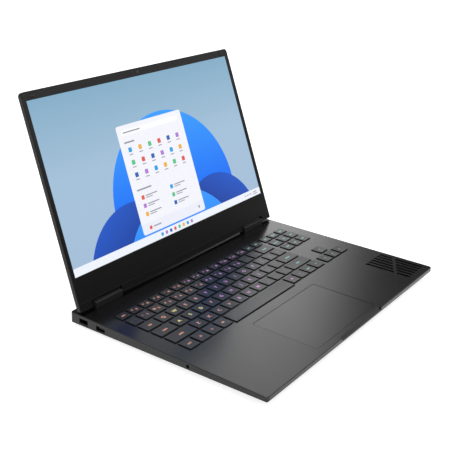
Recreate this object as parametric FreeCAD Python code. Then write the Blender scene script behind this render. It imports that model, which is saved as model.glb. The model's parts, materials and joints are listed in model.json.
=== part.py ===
import FreeCAD, Part
import math
import os

# Laptop computer, open at its working angle.
#
# X points to the user's right, Y from the user towards the hinge, and Z up. Everything is drawn
# with the top of the keyboard deck at Z = 0 and the front edge of the base at Y = 0. The lid is
# drawn flat, with its hinge axis on X, Y towards its free edge and Z towards the viewer, and is
# then turned to its working angle. When the parts are written they are moved so that the origin
# lies under the middle of the open laptop, on the surface that it stands on.
# All sizes are in millimetres. A pair such as (2.0, 5.0) is a range along one axis.

Vector = FreeCAD.Vector

# ---------------------------------------------------------------- driving dimensions: base
base_width = 369.0
base_depth = 263.6
base_corner_radius = 4.0
wall = 1.5
edge_bevel = 0.7
front_wall_height = 5.0
rear_wall_height = 11.8
flat_bottom_z = -14.3
foot_height = 1.5
parting_gap = 0.3
side_bevel_slope = 0.65
front_bevel_slope = 0.775
rear_bevel_slope = 0.6

# ---------------------------------------------------------------- driving dimensions: lid
hinge_y = 248.7
hinge_z = 3.6
open_angle = 110.2
lid_thickness = 6.0
bezel_face = 1.92
chin_bottom = -0.64
active_bottom = 36.86
active_height = 200.5
active_width = 356.4
top_bezel = 10.2
lid_corner_radius = 5.0
chin_corner_radius = 2.0
lid_wall = 1.2
bezel_thickness = 1.0
notch_span = (117.3, 165.6)
notch_top = 7.3
chin_crease = 7.9
camera_y = 242.56
microphone_x = 35.0

# ---------------------------------------------------------------- driving dimensions: hinges
pin_radius = 1.8
ear_radius = 2.9
left_ear_x = (117.9, 119.9)
right_ear_x = (163.0, 165.0)
knuckle_x = (120.5, 162.4)
barrel_x = (125.6, 154.9)
barrel_radius = 3.0
barrel_clearance = 0.05
hinge_arm_x = (130.0, 150.0)
hinge_arm_half = 1.2
# Section of a hinge cover, as (y, z) from the hinge axis.
hinge_cover_outline = ((-3.9, -3.6), (-3.9, 3.8), (-3.4, 4.3), (2.3, 4.3), (4.6, 2.0), (4.9, -3.6))

# ---------------------------------------------------------------- driving dimensions: keyboard
key_pitch = 18.84
key_gap = 2.5
key_left = -163.6
third_row_y = 174.28
function_key_depth = 13.0
bottom_row_extra = 1.0
space_bar_extra = 2.7
cluster_left = 111.0
cluster_pitch = 18.25
cluster_key_width = 15.3
key_top_z = 1.2
key_skirt_z = -1.2
key_roof = 1.0
key_wall = 1.0
key_clearance = 0.55
membrane_z = (-3.3, -3.0)
backplate_z = (-4.0, -3.3)
keyboard_x = (-166.5, 165.5)
keyboard_y = (103.5, 219.5)

# Widths of the main keys in each row, from the left, in key pitches.
key_rows = (
    (0.975,) + (0.965,) * 12 + (0.8875,) * 2,
    (0.9,) + (1.0,) * 12 + (1.43,),
    (1.33,) + (1.0,) * 13,
    (1.58,) + (1.0,) * 11 + (1.75,),
    (2.08,) + (1.0,) * 10 + (2.25,),
    (1.01,) * 4 + (6.35,) + (0.985,) * 4,
)
# The part that each row's first, middle and last keys belong to.
row_parts = (
    ("escape_key", "function_row_keys", "function_row_keys"),
    ("number_row_keys", "number_row_keys", "backspace_key"),
    ("tab_key", "top_letter_keys", "top_letter_keys"),
    ("caps_lock_key", "home_letter_keys", "enter_key"),
    ("left_shift_key", "bottom_letter_keys", "right_shift_key"),
    ("bottom_row_keys", "bottom_row_keys", "bottom_row_keys"),
)
# Which of the three cluster columns have a key in each row, right of the main keys.
cluster_columns = ((0, 1, 2), (0, 1, 2), (0, 1, 2), (), (1,), (0, 1, 2))

# ---------------------------------------------------------------- driving dimensions: openings
touchpad_x = (-79.8, 46.1)
touchpad_y = (8.7, 91.4)
touchpad_gap = 0.45
touchpad_radius = 3.0
touchpad_z = (-1.75, -0.15)
finger_notch_x = (-45.0, 45.5)
finger_notch_depth = 3.3
grille_x = (136.5, 177.2)
grille_y = (9.8, 68.8)
grille_slot_width = 4.6
grille_columns = 6
network_y = (236.1, 248.7)
network_z = (-8.1, -3.3)
network_cutout_y = (235.8, 249.0)
jaw_thickness = 1.2
jaw_axis_z = -10.5
jaw_pin_radius = 0.35
usb_left_y = (210.3, 222.9)
usb_right_y = (184.5, 197.1)
usb_z = (-8.5, -3.5)
usb_c_y = (167.5, 176.6)
usb_c_z = (-7.6, -4.4)
video_y = (212.5, 227.5)
video_z = (-9.1, -3.6)
audio_y = 95.4
audio_z = -3.9
audio_bore_radius = 1.75
audio_bore_length = 14.0
power_y = 241.0
power_z = -6.2
power_bore_radius = 2.25
screw_places = ((-150.0, 18.0), (118.0, 18.0), (-165.0, 99.5), (165.0, 99.5),
                (-172.0, 205.0), (172.0, 205.0), (0.0, 249.0))

# ---------------------------------------------------------------- driving dimensions: cooling
fan_center_x = 80.0
fan_center_y = 200.0
fan_half_width = 33.0
fan_y = (167.0, 237.5)
fan_z = (-12.5, -4.4)
fan_plate = 0.7
fan_cavity_radius = 31.0
impeller_radius = 29.5
impeller_hub_radius = 11.0
impeller_blades = 21
inlet_radius = 20.0
fan_post_radius = 1.5
shaft_clearance = 0.04
fin_rear_y = 260.7

# ---------------------------------------------------------------- worked out from the above
half_width = base_width / 2
parting_slope = (rear_wall_height - front_wall_height) / base_depth
lid_top = active_bottom + active_height + top_bezel
lid_back = bezel_face - lid_thickness
lid_inner_back = lid_back + lid_wall
bezel_back = bezel_face - bezel_thickness
floor_z = flat_bottom_z - foot_height
inner_floor_z = flat_bottom_z + wall
jaw_x = (-half_width, -half_width + jaw_thickness)
jaw_axis_x = -half_width + jaw_thickness / 2


# ---------------------------------------------------------------- drawing helpers
def grow(span, amount):
    return (span[0] - amount, span[1] + amount)


def middle(span):
    return (span[0] + span[1]) / 2


def box(x, y, z):
    return Part.makeBox(x[1] - x[0], y[1] - y[0], z[1] - z[0], Vector(x[0], y[0], z[0]))


def slab(x, y, z, radius):
    """Box with rounded upright edges."""
    solid = box(x, y, z)
    upright = [e for e in solid.Edges if abs(e.Vertexes[0].Z - e.Vertexes[1].Z) > 1e-6]
    return solid.makeFillet(radius, upright)


def post(x, y, z, radius):
    """Upright cylinder."""
    return Part.makeCylinder(radius, z[1] - z[0], Vector(x, y, z[0]))


def rod(x, y, z, radius):
    """Cylinder along X."""
    return Part.makeCylinder(radius, x[1] - x[0], Vector(x[0], y, z), Vector(1, 0, 0))


def pin(x, y, z, radius):
    """Cylinder along Y."""
    return Part.makeCylinder(radius, y[1] - y[0], Vector(x, y[0], z), Vector(0, 1, 0))


def prism(profile, x):
    """Outline of (y, z) points, drawn out along X."""
    points = [Vector(x[0], y, z) for y, z in profile]
    face = Part.Face(Part.makePolygon(points + points[:1]))
    return face.extrude(Vector(x[1] - x[0], 0, 0))


def sheet(outline, z):
    """Outline of (x, y) points, drawn out along Z."""
    points = [Vector(x, y, z[0]) for x, y in outline]
    face = Part.Face(Part.makePolygon(points + points[:1]))
    return face.extrude(Vector(0, 0, z[1] - z[0]))


def fuse(solids):
    return solids[0].multiFuse(solids[1:]).removeSplitter()


def group(solids):
    return Part.makeCompound(solids)


def mirrored(shape):
    return shape.mirror(Vector(0, 0, 0), Vector(1, 0, 0))


def both_sides(shape):
    return group([mirrored(shape), shape])


def rim_edges(solid, z):
    return [e for e in solid.Edges if all(abs(v.Z - z) < 1e-6 for v in e.Vertexes)]


def below_plane(height, x, y):
    """Everything under the plane that height(x, y) gives, within the two ranges."""
    corners = ((x[0], y[0]), (x[1], y[0]), (x[1], y[1]), (x[0], y[1]))
    points = [Vector(cx, cy, height(cx, cy)) for cx, cy in corners]
    face = Part.Face(Part.makePolygon(points + points[:1]))
    return face.extrude(Vector(0, 0, -base_width))


# ---------------------------------------------------------------- outer form of the base
def parting_height(y):
    return -front_wall_height - parting_slope * y


def base_form(inset):
    """Outside of the base, with every face moved inwards by inset."""
    form = slab(grow((-half_width, half_width), -inset), grow((0, base_depth), -inset),
                (flat_bottom_z + inset, -inset), base_corner_radius - inset)
    side_rise = inset * math.sqrt(1 + parting_slope ** 2 + side_bevel_slope ** 2)
    front_rise = inset * math.sqrt(1 + front_bevel_slope ** 2)
    rear_rise = inset * math.sqrt(1 + rear_bevel_slope ** 2)

    def side(x, y):
        return parting_height(y) - side_bevel_slope * (x + half_width) + side_rise

    def front(x, y):
        return -front_wall_height - front_bevel_slope * y + front_rise

    def rear(x, y):
        return -rear_wall_height - rear_bevel_slope * (base_depth - y) + rear_rise

    wide = grow((-half_width, half_width), 20)
    left_wedge = below_plane(side, (-half_width - 20, -half_width + 60), (-20, base_depth + 20))
    return form.cut([left_wedge, mirrored(left_wedge), below_plane(front, wide, (-20, 60)),
                     below_plane(rear, wide, (base_depth - 60, base_depth + 20))])


def below_parting(gap):
    return below_plane(lambda x, y: parting_height(y) - gap, grow((-half_width, half_width), 20),
                       (-20, base_depth + 20))


# ---------------------------------------------------------------- keyboard layout
def key_table():
    """Part name of each key, with the range of its top along X and along Y."""
    table = []
    for row, widths in enumerate(key_rows):
        center = third_row_y + (2 - row) * key_pitch
        y = grow((center, center), (key_pitch - key_gap) / 2)
        if row == 0:
            y = (y[0], y[0] + function_key_depth)
        if row == len(key_rows) - 1:
            y = (y[0] - bottom_row_extra, y[1])
        left = key_left
        for column, width in enumerate(widths):
            right = left + width * key_pitch
            place = 0 if column == 0 else 2 if column == len(widths) - 1 else 1
            name = row_parts[row][place]
            if width > 4:
                table.append(("space_bar", (left, right - key_gap), (y[0] - space_bar_extra, y[1])))
            else:
                table.append((name, (left, right - key_gap), y))
            left = right
        name = "navigation_keys" if row < 3 else "arrow_keys"
        for column in cluster_columns[row]:
            left = cluster_left + column * cluster_pitch
            table.append((name, (left, left + cluster_key_width), y))
    return table


def key_cap(x, y):
    cap = slab(x, y, (key_skirt_z, key_top_z), 1.2)
    cap = cap.makeChamfer(0.3, rim_edges(cap, key_top_z))
    hollow = box(grow(x, -key_wall), grow(y, -key_wall), (key_skirt_z, key_top_z - key_roof))
    return cap.cut(hollow)


def key_scissor(x, y):
    """Two crossed wire frames that keep a key level, folded down."""
    frames = []
    reach = (x[1] - x[0] - 6.0) / 2
    centers = (middle(x),) if reach < 20 else (x[0] + 20, x[1] - 20)
    for center in centers:
        wide = grow((center, center), min(reach, 6.0))
        for shift, z in ((-0.8, (-2.9, -2.4)), (0.8, (-2.4, -1.9))):
            deep = grow((middle(y) + shift, middle(y) + shift), 3.4)
            frame = box(wide, deep, z)
            frames.append(frame.cut(box(grow(wide, -0.9), grow(deep, -0.9), z)))
    return fuse(frames)


def key_parts(keys):
    names = sorted({name for name, x, y in keys})
    return {name: group([key_cap(x, y) for owner, x, y in keys if owner == name])
            for name in names}


def key_scissors(keys):
    return group([key_scissor(x, y) for name, x, y in keys])


def key_domes(keys):
    low = membrane_z[1]
    return group([Part.makeCone(1.6, 1.1, 1.3, Vector(middle(x), middle(y), low))
                  for name, x, y in keys])


def keyboard_membrane():
    return box(keyboard_x, keyboard_y, membrane_z)


def keyboard_backplate():
    plate = box(keyboard_x, keyboard_y, backplate_z)
    windows = []
    for row in range(5):
        y = third_row_y + (1.5 - row) * key_pitch
        for column in range(9):
            x = key_left + 20 + column * 2 * key_pitch
            windows.append(slab(grow((x, x), 5), grow((y, y), 1.2), backplate_z, 1.1))
    return plate.cut(windows)


# ---------------------------------------------------------------- sockets along the sides
def left_socket(y, z, depth, tongue_z):
    """Metal shell of a connector that opens at the left side, with its contact tongue."""
    shell = 0.4
    x = (-half_width + 0.3, -half_width + 0.3 + depth)
    body = box(x, grow(y, shell), grow(z, shell))
    body = body.cut(box((x[0], x[1] - 1.0), y, z))
    if tongue_z is None:
        return body
    return fuse([body, box((x[0] + 2.0, x[1] - 1.0), grow(y, -1.2), tongue_z)])


def left_socket_hole(y, z):
    return box((-half_width - 5, -half_width + 6), grow(y, 0.45), grow(z, 0.45))


def network_jaw():
    """Lower lip of the network socket, which tips outwards for a plug."""
    lip = box(jaw_x, network_y, (jaw_axis_z, network_z[0] - 0.2))
    bead = pin(jaw_axis_x, network_y, jaw_axis_z, (jaw_x[1] - jaw_x[0]) / 2)
    pivots = pin(jaw_axis_x, grow(network_y, 0.8), jaw_axis_z, jaw_pin_radius)
    return fuse([lip, bead, pivots])


def network_jaw_space():
    mouth = box((-half_width - 5, -half_width + 6), network_cutout_y, (-20, network_z[1] + 0.4))
    room = box((jaw_x[1] + 0.25, -half_width + 8), grow(network_cutout_y, 0.5),
               (-20, network_z[1] + 0.6))
    bores = pin(jaw_axis_x, grow(network_cutout_y, 0.7), jaw_axis_z, jaw_pin_radius + 0.05)
    return [mouth, room, bores]


def network_socket():
    x = (jaw_x[1] + 0.3, jaw_x[1] + 15.5)
    z = (jaw_axis_z, network_z[1])
    body = box(x, grow(network_y, 0.5), grow(z, 0.4))
    mouth = box((x[0], x[1] - 1.2), network_y, z)
    contacts = [box((x[1] - 8, x[1] - 1.2), (y, y + 0.4), (z[1] - 2.2, z[1]))
                for y in [network_y[0] + 2.5 + 1.02 * i for i in range(8)]]
    return fuse([body.cut(mouth)] + contacts)


def usb_sockets():
    tongue = (usb_z[1] - 3.2, usb_z[1] - 1.4)
    tongue_c = (middle(usb_c_z) - 0.35, middle(usb_c_z) + 0.35)
    return group([left_socket(usb_left_y, usb_z, 14.0, tongue),
                  mirrored(left_socket(usb_right_y, usb_z, 14.0, tongue)),
                  mirrored(left_socket(usb_c_y, usb_c_z, 9.0, tongue_c))])


def video_socket():
    tongue = (middle(video_z) - 0.2, middle(video_z) + 0.9)
    return mirrored(left_socket(video_y, video_z, 12.0, tongue))


def round_socket(y, z, outer, bore, length):
    """Round connector at the left side: a nozzle in the wall, with a body behind it."""
    x = -half_width
    nozzle = rod((x, x + 4.0), y, z, outer)
    body = box((x + 4.0, x + length + 1.5), grow((y, y), outer + 0.8), grow((z, z), outer - 0.4))
    return fuse([nozzle, body]).cut(rod((x - 1, x + length), y, z, bore))


def audio_socket():
    return round_socket(audio_y, audio_z, 2.6, audio_bore_radius, audio_bore_length)


def power_inlet():
    shell = round_socket(power_y, power_z, 4.0, power_bore_radius, 12.0)
    center_pin = rod((-half_width + 1.5, -half_width + 12.0), power_y, power_z, 0.4)
    return mirrored(fuse([shell, center_pin]))


def side_holes():
    sockets = [left_socket_hole(usb_left_y, usb_z)]
    sockets += network_jaw_space()
    sockets.append(rod((-half_width - 5, -half_width + 6), audio_y, audio_z, 2.65))
    right = [left_socket_hole(usb_right_y, usb_z), left_socket_hole(usb_c_y, usb_c_z),
             left_socket_hole(video_y, video_z),
             rod((-half_width - 5, -half_width + 6), power_y, power_z, 4.05)]
    return sockets + [mirrored(hole) for hole in right]


# ---------------------------------------------------------------- covers of the base
def grille_slots():
    """Upright louvre slots in the right palm rest, parted by a slanting bar."""
    z = (-wall - 0.1, 0.1)
    pitch = (grille_x[1] - grille_x[0] - grille_slot_width) / (grille_columns - 1)
    slope = 0.55
    bar_half = 2.4
    slots = []
    for column in range(grille_columns):
        left = grille_x[0] + column * pitch
        right = left + grille_slot_width
        low = [grille_y[0] + 17.5 + slope * (x - grille_x[0]) for x in (left, right)]
        slots.append(sheet(((left, grille_y[0]), (right, grille_y[0]),
                            (right, low[1] - bar_half), (left, low[0] - bar_half)), z))
        slots.append(sheet(((left, low[0] + bar_half), (right, low[1] + bar_half),
                            (right, grille_y[1]), (left, grille_y[1])), z))
    return slots


def rear_vent_slots():
    slots = []
    for index in range(15):
        x = 45.5 + index * 4.7
        slot = slab_along_y((x, x + 2.8), (base_depth - 3, base_depth + 1), (-10.0, -3.0))
        slots += [slot, mirrored(slot)]
    return slots


def slab_along_y(x, y, z):
    """Box along Y with its long edges rounded."""
    solid = box(x, y, z)
    long_edges = [e for e in solid.Edges if abs(e.Vertexes[0].Y - e.Vertexes[1].Y) > 1e-6]
    return solid.makeFillet(1.0, long_edges)


def hinge_arm_slot():
    return box(grow(hinge_arm_x, 0.3), grow((hinge_y, hinge_y), hinge_arm_half + 0.3),
               (-wall - 0.1, 0.1))


def keyboard_frame():
    """Rib under the deck that the keyboard is clamped against."""
    z = (membrane_z[1], -wall)
    return box(grow(keyboard_x, 2), grow(keyboard_y, 2), z).cut(box(grow(keyboard_x, -0.8),
                                                                    grow(keyboard_y, -0.8), z))


def finger_notch_rib():
    """Thicker corner behind the finger notch, inside the front edge."""
    return box(grow(finger_notch_x, 1.0), (wall - 0.5, wall + 2.6), (-4.4, 0.5 - wall))


def top_cover(keys):
    outside = base_form(0)
    outside = outside.makeChamfer(edge_bevel, rim_edges(outside, 0))
    shell = outside.cut([base_form(wall), below_parting(0)])
    bosses = [post(x, y, (inner_floor_z, -wall), 2.5) for x, y in screw_places]
    shell = fuse([shell, keyboard_frame(), finger_notch_rib()] + bosses)
    deck = (-wall - 0.1, 0.1)
    holes = [slab(grow(x, key_clearance), grow(y, key_clearance), deck, 1.5) for name, x, y in keys]
    holes.append(slab(touchpad_x, touchpad_y, deck, touchpad_radius))
    holes += grille_slots() + rear_vent_slots() + side_holes()
    holes += [hinge_arm_slot(), mirrored(hinge_arm_slot())]
    holes += [post(x, y, (inner_floor_z - 1, -wall - 2.0), 1.25) for x, y in screw_places]
    depth = finger_notch_depth
    holes.append(prism(((-1, -depth - 1), (depth + 1, 1), (-1, 1)), finger_notch_x))
    return shell.cut(holes)


def bottom_cover():
    shell = base_form(0).cut(base_form(wall)).common(below_parting(parting_gap))
    holes = [post(x, y, (flat_bottom_z - 1, inner_floor_z + 1), 1.35) for x, y in screw_places]
    holes += [post(x, y, (flat_bottom_z - 1, flat_bottom_z + 0.8), 2.6) for x, y in screw_places]
    for index in range(12):
        y = 171.0 + index * 5.0
        slot = slab((50.0, 110.0), (y, y + 2.4), (flat_bottom_z - 1, inner_floor_z + 1), 1.1)
        holes += [slot, mirrored(slot)]
    return shell.cut(holes)


def bottom_screws():
    screws = []
    for x, y in screw_places:
        head = post(x, y, (flat_bottom_z + 0.1, flat_bottom_z + 0.8), 2.4)
        shank = post(x, y, (flat_bottom_z + 0.8, -6.0), 1.25)
        cross = [box(grow((x, x), a), grow((y, y), b), (flat_bottom_z, flat_bottom_z + 0.5))
                 for a, b in ((1.4, 0.3), (0.3, 1.4))]
        screws.append(fuse([head, shank]).cut(cross))
    return group(screws)


def rubber_feet():
    z = (floor_z, flat_bottom_z)
    feet = [slab((-120, 120), (236, 248), z, 4.0)]
    for x in ((-140, -70), (70, 110)):
        feet.append(slab(x, (24, 33), z, 3.5))
    return group([foot.makeChamfer(0.5, rim_edges(foot, floor_z)) for foot in feet])


def palm_grille_mesh():
    plate = box(grow(grille_x, 3), grow(grille_y, 2.5), (-wall - 0.4, -wall))
    holes = []
    for row in range(21):
        for column in range(15):
            x = grille_x[0] + 1.2 + 2.75 * column
            y = grille_y[0] + 1.2 + 2.8 * row
            holes.append(box(grow((x, x), 0.8), grow((y, y), 0.8), (-wall - 1, -wall + 0.1)))
    return plate.cut(holes)


# ---------------------------------------------------------------- touchpad
def touchpad_plate():
    plate = slab(grow(touchpad_x, -touchpad_gap), grow(touchpad_y, -touchpad_gap), touchpad_z,
                 touchpad_radius - touchpad_gap)
    return plate.makeChamfer(0.2, rim_edges(plate, touchpad_z[1]))


def touchpad_frame():
    floor = (-3.2, -2.5)
    outer_x = grow(touchpad_x, 4.2)
    outer_y = grow(touchpad_y, 4.2)
    tray = box(outer_x, outer_y, (floor[0], -wall))
    tray = tray.cut(box(grow(touchpad_x, 1.2), grow(touchpad_y, 1.2), (floor[1], -wall)))
    windows = []
    for index in range(3):
        x = touchpad_x[0] + 8 + index * 38
        windows.append(slab((x, x + 32), grow(touchpad_y, -12), (floor[0] - 1, floor[1] + 1), 3.0))
    return tray.cut(windows)


# ---------------------------------------------------------------- electronics
def mainboard():
    outline = ((-158, 106), (158, 106), (158, 160), (44, 160), (44, 238), (-44, 238), (-44, 160),
               (-158, 160))
    return sheet(outline, (-7.2, -6.0))


def processor_chips():
    chips = [((-34, -8), (150, 178), -10.2), ((8, 38), (150, 180), -10.2)]
    chips += [((-34 + 18 * i, -22 + 18 * i), (184, 196), -8.6) for i in range(4)]
    chips += [((60 + 14 * i, 70 + 14 * i), (148, 156), -9.6) for i in range(4)]
    return group([box(x, y, (low, -7.2)) for x, y, low in chips])


def heat_pipes():
    """Copper plate over the two processors, with two flat pipes to each row of fins."""
    z = (-12.2, -10.2)
    left = fuse([box((-40, -4), (146, 184), z), box((-42, -30), (184, 254), z),
                 box((-112, -42), (240, 254), z)])
    right = fuse([box((4, 42), (146, 184), z), box((30, 42), (184, 254), z),
                  box((42, 112), (240, 254), z)])
    return group([left, right])


def cooling_fins():
    z = (-10.2, -4.2)
    y = (239.0, fin_rear_y)
    fins = [box((44, 112), y, (z[1] - 0.4, z[1])), box((44, 112), y, (z[0], z[0] + 0.4))]
    fins += [box((44 + 2.5 * i, 44.5 + 2.5 * i), y, z) for i in range(28)]
    return both_sides(fuse(fins))


def battery_pack():
    cells = [slab((-112 + 37 * i, -77 + 37 * i), (16, 92), (-12.4, -6.4), 2.5) for i in range(6)]
    tray = box((-112, 108), (16, 92), (-6.4, -6.0))
    return fuse([tray] + cells)


def storage_drive():
    stick = box((-140, -60), (112, 134), (-8.0, -7.2))
    chips = [box((-134 + 20 * i, -120 + 20 * i), (114, 132), (-9.6, -8.0)) for i in range(4)]
    return fuse([stick] + chips)


def memory_modules():
    modules = []
    for low in (-9.3, -11.5):
        board = box((-34, 34), (110, 140), (low + 0.9, low + 1.9))
        chips = [box((-30 + 15.5 * i, -18 + 15.5 * i), (116, 130), (low, low + 0.9))
                 for i in range(4)]
        modules.append(fuse([board] + chips))
    return group(modules)


def wireless_card():
    return fuse([box((60, 82), (112, 142), (-8.0, -7.2)), box((62, 80), (118, 140), (-9.4, -8.0))])


def speaker_boxes():
    """Sealed speaker boxes with a round cone in the upper face."""
    speakers = []
    for x in ((-166, -122), (120, 166)):
        body = slab(x, (28, 88), (-12.4, -4.4), 4.0)
        body = body.cut(post(middle(x), 58, (-6.0, -4.3), 15.0))
        cone = Part.makeCone(14.0, 5.0, 1.0, Vector(middle(x), 58, -6.0))
        speakers.append(fuse([body, cone]))
    return group(speakers)


def base_cables():
    """Flat ribbons: battery lead, keyboard ribbon and touchpad ribbon."""
    battery_lead = box((-60, -44), (92, 106), (-6.9, -6.6))
    keyboard = fuse([box((60, 84), (101.0, 103.5), (-3.9, -3.6)),
                     box((60, 84), (101.0, 101.3), (-6.9, -3.6)),
                     box((60, 84), (101.0, 106.0), (-6.9, -6.6))])
    touchpad = fuse([box((-20, 0), (95.6, 98.0), (-3.1, -2.8)),
                     box((-20, 0), (97.7, 98.0), (-6.9, -2.8)),
                     box((-20, 0), (97.7, 106.0), (-6.9, -6.6))])
    return group([battery_lead, keyboard, touchpad])


# ---------------------------------------------------------------- fans
def left_fan_housing():
    """Flat blower box, open below around the hub and at the back towards the fins."""
    x = grow((-fan_center_x, -fan_center_x), fan_half_width)
    inside = grow(fan_z, -fan_plate)
    body = slab(x, fan_y, fan_z, 6.0)
    hollow = [post(-fan_center_x, fan_center_y, inside, fan_cavity_radius),
              box(grow(x, -2.0), (fan_center_y, fan_y[1] + 1), inside),
              post(-fan_center_x, fan_center_y, (fan_z[0] - 1, inside[0]), inlet_radius)]
    axle = post(-fan_center_x, fan_center_y, (-11.0, inside[1]), fan_post_radius)
    return fuse([body.cut(hollow), axle])


def left_impeller():
    z = (fan_z[0] + fan_plate + 0.4, fan_z[1] - fan_plate - 0.4)
    bore = fan_post_radius + shaft_clearance
    hub = post(0, 0, z, impeller_hub_radius)
    hub = hub.cut(post(0, 0, (z[0] - 1, z[1] + 1), bore))
    hub = hub.cut(post(0, 0, (z[0] + 1.2, z[1] + 1), impeller_hub_radius - 1).cut(
        post(0, 0, (z[0], z[1] + 1), 3.0)))
    blades = []
    for index in range(impeller_blades):
        blade = box((impeller_hub_radius - 0.6, impeller_radius), (-0.4, 0.4), z)
        blade.rotate(Vector(impeller_hub_radius, 0, 0), Vector(0, 0, 1), 18)
        blade.rotate(Vector(0, 0, 0), Vector(0, 0, 1), index * 360 / impeller_blades)
        blades.append(blade)
    wheel = fuse([hub] + blades)
    wheel.translate(Vector(-fan_center_x, fan_center_y, 0))
    return wheel


# ---------------------------------------------------------------- hinges
def hinge_base_brackets():
    """Steel plate under the deck, with an arm up to the barrel that the pin turns in."""
    foot = box((124, 156), (226, 254), (-wall - 1.5, -wall))
    arm = box(hinge_arm_x, grow((hinge_y, hinge_y), hinge_arm_half), (-wall, hinge_z - 2.5))
    barrel = rod(barrel_x, hinge_y, hinge_z, barrel_radius)
    bracket = fuse([foot, arm, barrel])
    return both_sides(bracket.cut(rod(grow(barrel_x, 1), hinge_y, hinge_z,
                                      pin_radius + 0.03)))


def hinge_covers():
    """Upright plastic block over each barrel, with a bevelled top, standing on the deck."""
    cap = prism([(hinge_y + y, hinge_z + z) for y, z in hinge_cover_outline], knuckle_x)
    cavity_x = grow(barrel_x, 0.3)
    reach = barrel_radius + barrel_clearance
    cavity = [rod(cavity_x, hinge_y, hinge_z, reach),
              box(cavity_x, grow((hinge_y, hinge_y), reach), (-1, hinge_z)),
              rod(grow(knuckle_x, 1), hinge_y, hinge_z, pin_radius + 0.08)]
    return both_sides(cap.cut(cavity))


def hinge_pins():
    return both_sides(on_lid(rod((left_ear_x[0], right_ear_x[1]), 0, 0, pin_radius)))


def hinge_lid_brackets():
    """Steel plate inside the lid, with two ears that hold the ends of the pin."""
    back = lid_inner_back
    plate = [box(grow((left_ear_x[0], right_ear_x[1]), 1.4), (8.8, 28.0), (back, back + 1.8)),
             box((122.0, 158.5), (28.0, 62.0), (back, back + 0.8))]
    ears = []
    for x in (left_ear_x, right_ear_x):
        ears.append(rod(x, 0, 0, ear_radius))
        ears.append(box(x, (0.0, 9.8), (back, back + 2.4)))
    bracket = fuse(plate + ears)
    return both_sides(on_lid(bracket.cut(rod((left_ear_x[0] - 1, right_ear_x[1] + 1), 0, 0,
                                             pin_radius))))


# ---------------------------------------------------------------- lid
def on_lid(shape):
    """Turns a shape drawn flat in the lid's own frame to the lid's working place."""
    placed = shape.copy()
    placed.rotate(Vector(0, 0, 0), Vector(1, 0, 0), 180 - open_angle)
    placed.translate(Vector(0, hinge_y, hinge_z))
    return placed


def hinge_notches():
    notch = box(notch_span, (chin_bottom - 5, notch_top), (lid_back - 1, bezel_face + 1))
    return [notch, mirrored(notch)]


def lid_outline(inset, z):
    """Lid's outline, with its upper corners rounder than its lower ones."""
    y = (chin_bottom + inset, lid_top - inset)
    solid = box(grow((-half_width, half_width), -inset), y, z)
    for corner_y, radius in ((y[1], lid_corner_radius), (y[0], chin_corner_radius)):
        upright = [e for e in solid.Edges
                   if abs(e.Vertexes[0].Z - e.Vertexes[1].Z) > 1e-6
                   and abs(e.Vertexes[0].Y - corner_y) < 1e-6]
        solid = solid.makeFillet(max(radius - inset, 0.5), upright)
    return solid


def lid_back_cover():
    rim_top = bezel_face - 0.15
    outside = lid_outline(0, (lid_back, rim_top))
    outside = outside.makeChamfer(1.2, rim_edges(outside, lid_back))
    shell = outside.cut([lid_outline(1.0, (bezel_back, rim_top + 1)),
                         lid_outline(1.8, (lid_inner_back, bezel_back))])
    collar = box(grow(notch_span, 1.2), (chin_bottom + 1, notch_top + 1.0),
                 (lid_inner_back - 0.2, bezel_back))
    shell = fuse([shell, collar, mirrored(collar)])
    slots = [box(grow(x, 0.3), (0, 12), (lid_inner_back, lid_inner_back + 2.7))
             for x in (left_ear_x, right_ear_x)]
    return on_lid(shell.cut(hinge_notches() + slots + [mirrored(s) for s in slots]))


def display_bezel():
    frame = lid_outline(1.15, (bezel_back, bezel_face))
    opening = box((-active_width / 2, active_width / 2),
                  (active_bottom, active_bottom + active_height), (bezel_back - 1, bezel_face + 1))
    frame = frame.cut(opening)
    inner_rim = [e for e in rim_edges(frame, bezel_face)
                 if all(abs(v.X) < active_width / 2 + 1 and active_bottom - 1 < v.Y < active_bottom
                        + active_height + 1 for v in e.Vertexes)]
    frame = frame.makeChamfer(0.6, inner_rim)
    holes = hinge_notches()
    holes.append(post(0, camera_y, (bezel_back - 1, bezel_face + 1), 1.7))
    holes += [post(x, camera_y, (bezel_back - 1, bezel_face + 1), 0.5)
              for x in (-microphone_x, microphone_x)]
    holes.append(box((-half_width, half_width), (chin_crease - 0.2, chin_crease + 0.2),
                     (bezel_face - 0.3, bezel_face + 1)))
    return on_lid(frame.cut(holes))


def display_glass():
    return on_lid(box((-181, 181), (active_bottom - 3.4, 239.5), (0.05, 0.85)))


def backlight_unit():
    return on_lid(box((-181, 181), (active_bottom - 6.0, 239.5), (-1.95, 0.05)))


def display_driver_board():
    board = box((-95, 95), (13, 26), (-1.7, -0.9))
    chips = [box((-80 + 40 * i, -62 + 40 * i), (16, 23), (-0.9, 0.2)) for i in range(5)]
    return on_lid(fuse([board] + chips))


def webcam_module():
    board = box((-45, 45), (camera_y - 2.4, camera_y + 2.4), (-1.6, -0.6))
    barrel = post(0, camera_y, (-0.6, 0.8), 2.3)
    lens = post(0, camera_y, (0.8, bezel_face - 0.2), 1.6)
    lens = lens.cut(Part.makeSphere(3.0, Vector(0, camera_y, bezel_face + 2.5)))
    microphones = [box((x - 1.5, x + 1.5), (camera_y - 1, camera_y + 1), (-0.6, 0.6))
                   for x in (-microphone_x, microphone_x)]
    return on_lid(fuse([board, barrel, lens] + microphones))


def wireless_antennas():
    return on_lid(both_sides(box((70, 130), (camera_y - 1.8, camera_y + 1.8), (-1.2, -0.8))))


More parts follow.
